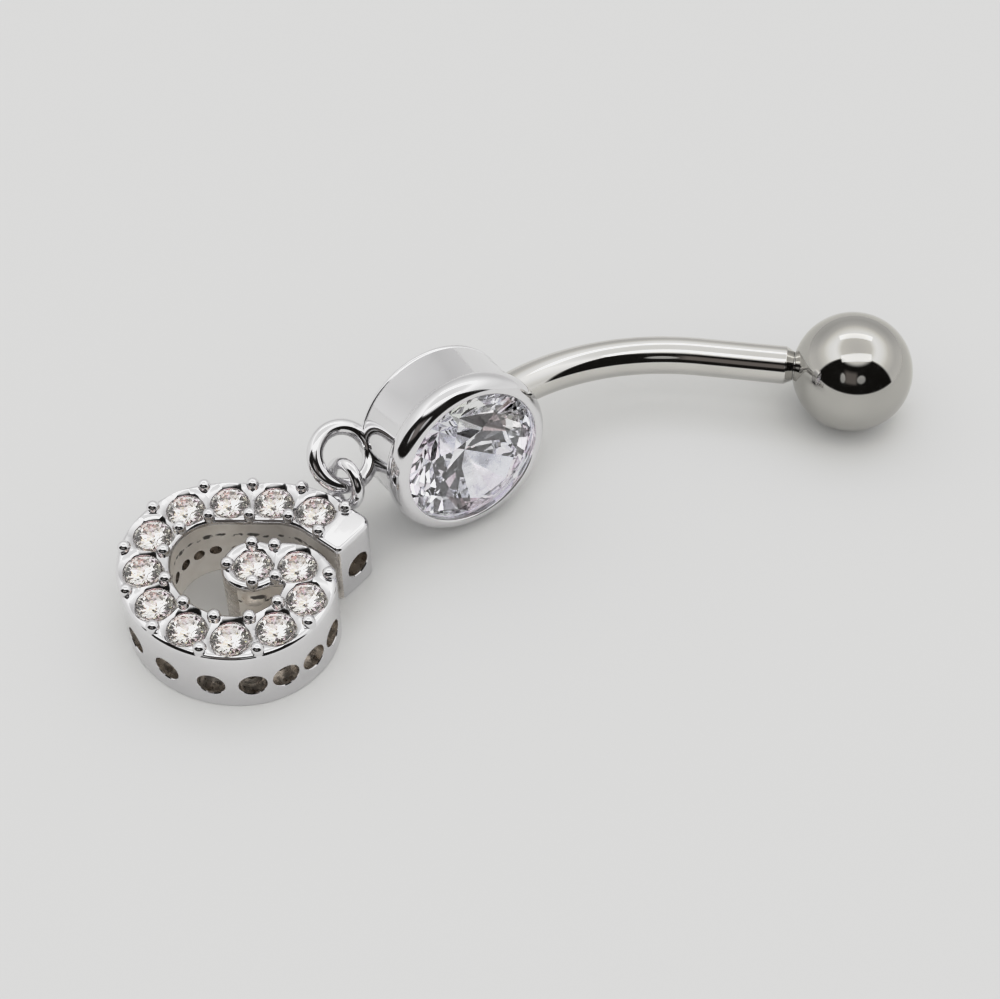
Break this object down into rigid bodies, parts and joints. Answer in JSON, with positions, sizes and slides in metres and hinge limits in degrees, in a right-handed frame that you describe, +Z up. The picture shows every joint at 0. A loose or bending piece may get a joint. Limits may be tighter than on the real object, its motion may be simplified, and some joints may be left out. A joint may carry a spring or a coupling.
{
  "type": "navel ring",
  "caption": "Curved navel barbell with a plain screw-on ball, a large round clear stone in a cup, and a small stone-set scroll hanging from two linked rings.",
  "frame": {"origin": "bottom centre of the box around the whole piece, on the surface that it lies on", "axes": "+Z up from that surface, +X along the piece towards the ball, the large stone facing mainly -Y"},
  "size_m": [0.0332, 0.0184, 0.0075],
  "materials": {
    "steel": "mirror polished steel",
    "plated_metal": "bright white plating",
    "clear_stone": "faceted clear stone"
  },
  "bodies": {
    "jewel": {"bar_and_cup": "steel", "main_stone": "clear_stone", "scroll": "plated_metal", "small_stone_01": "clear_stone", "small_stone_02": "clear_stone", "small_stone_03": "clear_stone", "small_stone_04": "clear_stone", "small_stone_05": "clear_stone", "small_stone_06": "clear_stone", "small_stone_07": "clear_stone", "small_stone_08": "clear_stone", "small_stone_09": "clear_stone", "small_stone_10": "clear_stone", "small_stone_11": "clear_stone", "small_stone_12": "clear_stone", "small_stone_13": "clear_stone"},
    "ball": {"ball": "steel"}
  },
  "joints": [
    {"name": "ball_unscrew", "type": "slide", "parent": "jewel", "child": "ball", "axis": [0.9878, -0.1545, 0.0211], "range_m": [0, 0.006]}
  ]
}
